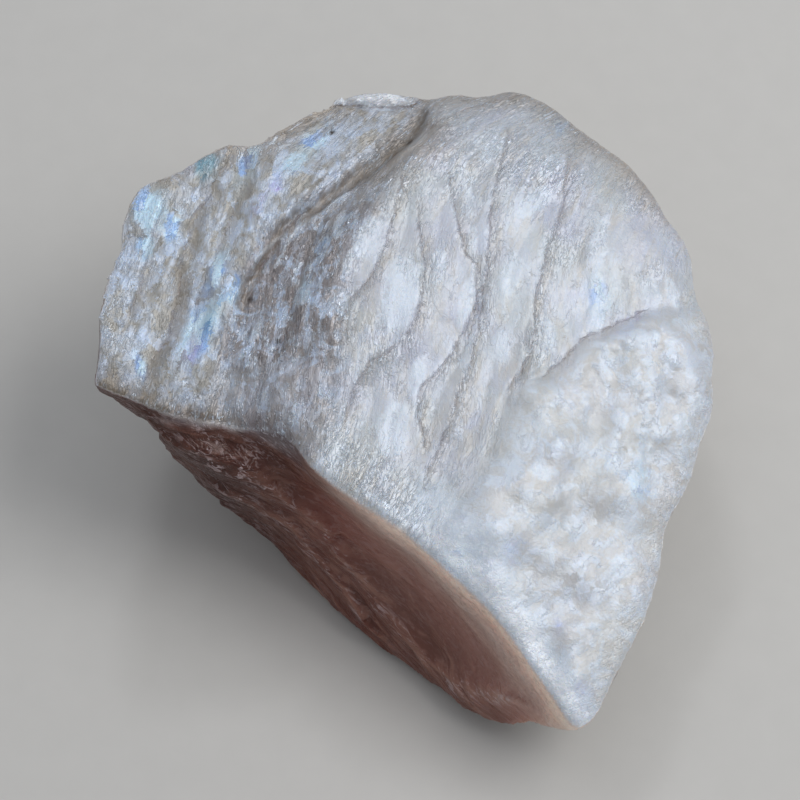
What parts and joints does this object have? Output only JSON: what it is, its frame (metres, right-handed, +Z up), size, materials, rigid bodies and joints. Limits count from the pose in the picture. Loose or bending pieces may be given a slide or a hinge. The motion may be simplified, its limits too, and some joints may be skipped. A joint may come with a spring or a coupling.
{
  "type": "rough moonstone",
  "caption": "Broken lump of milky feldspar with a sloping pearly cleavage face, a lower plateau beside a groove, a dark broken front and a small flat spot to lie on.",
  "frame": {"origin": "on the surface that the stone lies on, under the middle of its bounding box", "axes": "+Z up; the pearly face slopes down towards -Y and +X; the dark broken side faces -X and -Y; the longest way across the stone is along Y"},
  "size_m": [0.0536, 0.058, 0.0262],
  "materials": {
    "moonstone": "silky, translucent milk white with fine flowing ridges, patches of pale blue sheen, and brown-grey broken sides"
  },
  "bodies": {
    "root": {"moonstone": "moonstone"}
  },
  "joints": []
}
